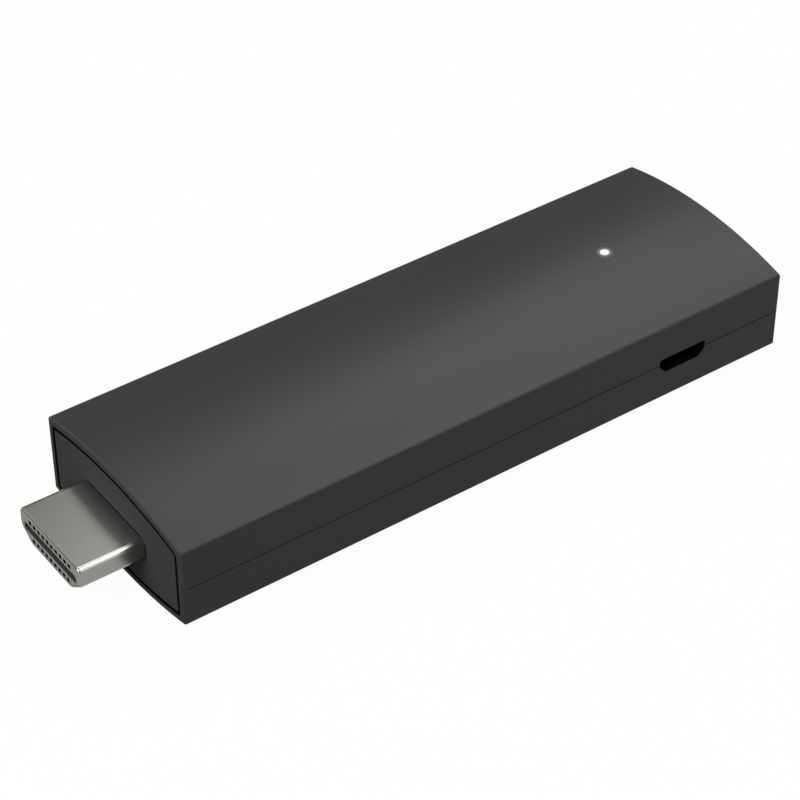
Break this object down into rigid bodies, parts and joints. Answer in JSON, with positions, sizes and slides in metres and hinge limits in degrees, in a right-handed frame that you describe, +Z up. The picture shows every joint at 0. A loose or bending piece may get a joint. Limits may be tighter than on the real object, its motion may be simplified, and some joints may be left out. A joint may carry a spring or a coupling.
{
  "type": "streaming stick",
  "caption": "Pocket media streaming stick: a long crowned plastic bar with a video plug at one end, a power port in one long side and a small status light on top.",
  "frame": {"origin": "under the middle of the whole stick, plug included, on its lowest point", "axes": "+X along the stick away from the plug, +Y away from the side with the power port, +Z up through the crowned top"},
  "size_m": [0.0996, 0.0302, 0.015],
  "materials": {
    "shell_plastic": "fine satin moulded charcoal polycarbonate blend",
    "cap_plastic": "smooth moulded charcoal plastic",
    "clear_guide": "milky light guide, lit white",
    "nickel_plate": "nickel plated stamped steel, satin",
    "pale_moulding": "pale grey glass-filled moulding",
    "black_moulding": "black glass-filled moulding",
    "gold_plate": "gold plated phosphor bronze",
    "solder_mask": "green solder mask over glass laminate",
    "chip_epoxy": "black moulded epoxy",
    "ferrite": "sintered ferrite with resin",
    "can_metal": "tin plated sheet steel",
    "capacitor_ceramic": "tan sintered ceramic",
    "lamp_resin": "clear moulded lamp resin",
    "thermal_pad": "soft filled silicone",
    "plate_aluminium": "plain rolled sheet"
  },
  "bodies": {
    "root": {"upper_shell": "shell_plastic", "lower_shell": "shell_plastic", "front_cap": "cap_plastic", "light_pipe": "clear_guide", "hdmi_plug_shell": "nickel_plate", "hdmi_insulator": "pale_moulding", "hdmi_contacts_upper": "gold_plate", "hdmi_contacts_lower": "gold_plate", "main_board": "solder_mask", "processor": "chip_epoxy", "memory_chips": "chip_epoxy", "flash_chip": "chip_epoxy", "power_chip": "chip_epoxy", "wifi_module": "can_metal", "power_inductors": "ferrite", "crystals": "can_metal", "capacitors": "capacitor_ceramic", "esd_arrays": "chip_epoxy", "antenna_right": "can_metal", "antenna_left": "can_metal", "status_led": "lamp_resin", "shield_frame_upper": "can_metal", "shield_lid_upper": "can_metal", "shield_frame_lower": "can_metal", "shield_lid_lower": "can_metal", "processor_pad": "thermal_pad", "flash_pad": "thermal_pad", "lid_pad_upper": "thermal_pad", "lid_pad_lower": "thermal_pad", "heat_spreader_upper": "plate_aluminium", "heat_spreader_lower": "plate_aluminium", "usb_shell": "nickel_plate", "usb_insulator": "black_moulding", "usb_contacts": "gold_plate"}
  },
  "joints": []
}
